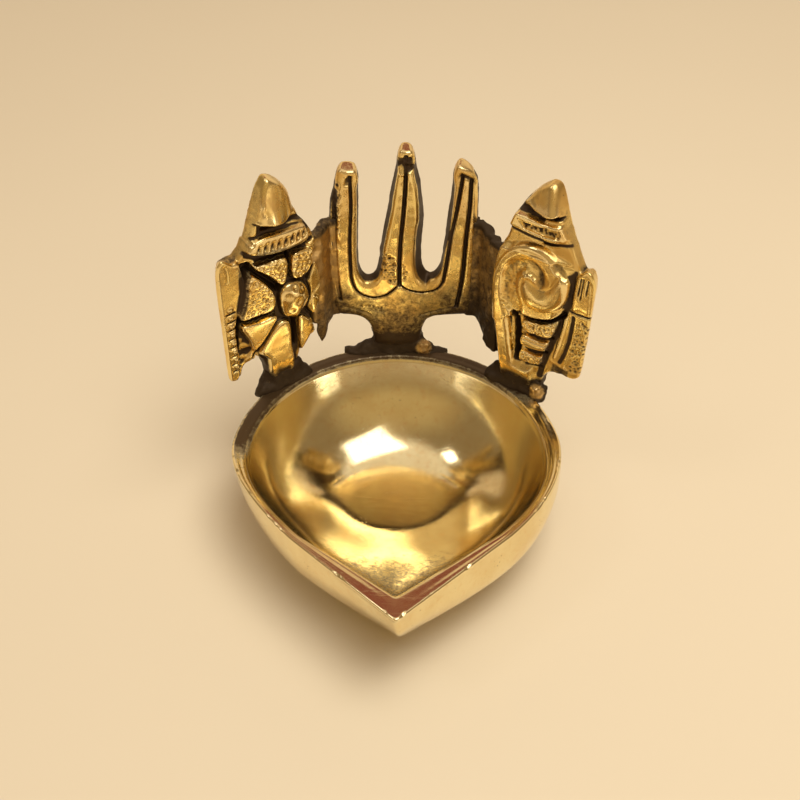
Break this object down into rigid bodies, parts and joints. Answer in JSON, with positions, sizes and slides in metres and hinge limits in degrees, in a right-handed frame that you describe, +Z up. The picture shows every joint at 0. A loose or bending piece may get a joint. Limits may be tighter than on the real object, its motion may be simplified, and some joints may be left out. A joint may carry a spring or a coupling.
{
  "type": "diya oil lamp",
  "caption": "Small cast brass oil lamp: a leaf-shaped bowl with a pointed spout and an openwork back panel of a pronged mark, a petalled disc and a conch.",
  "frame": {"origin": "point on the underside of the flat foot plate, below the centre of the rim's round back", "axes": "+Z up from the foot plate, -Y towards the pointed spout, +Y towards the emblem panel, +X to the right of someone facing the emblems"},
  "size_m": [0.0656, 0.0693, 0.066],
  "materials": {
    "polished_brass": "hand polished, scratched, with worn bright edges",
    "antiqued_brass": "cast relief, bright on the high parts and blackened in the recesses",
    "dark_brass": "rough as-cast surface left dark"
  },
  "bodies": {
    "root": {"oil_bowl": "polished_brass", "foot_plate": "dark_brass", "naamam_emblem": "antiqued_brass", "chakra_emblem": "antiqued_brass", "shankha_emblem": "antiqued_brass", "web_left": "dark_brass", "web_right": "dark_brass", "braze_foot_left": "dark_brass", "braze_foot_centre": "dark_brass", "braze_foot_right": "dark_brass"}
  },
  "joints": []
}
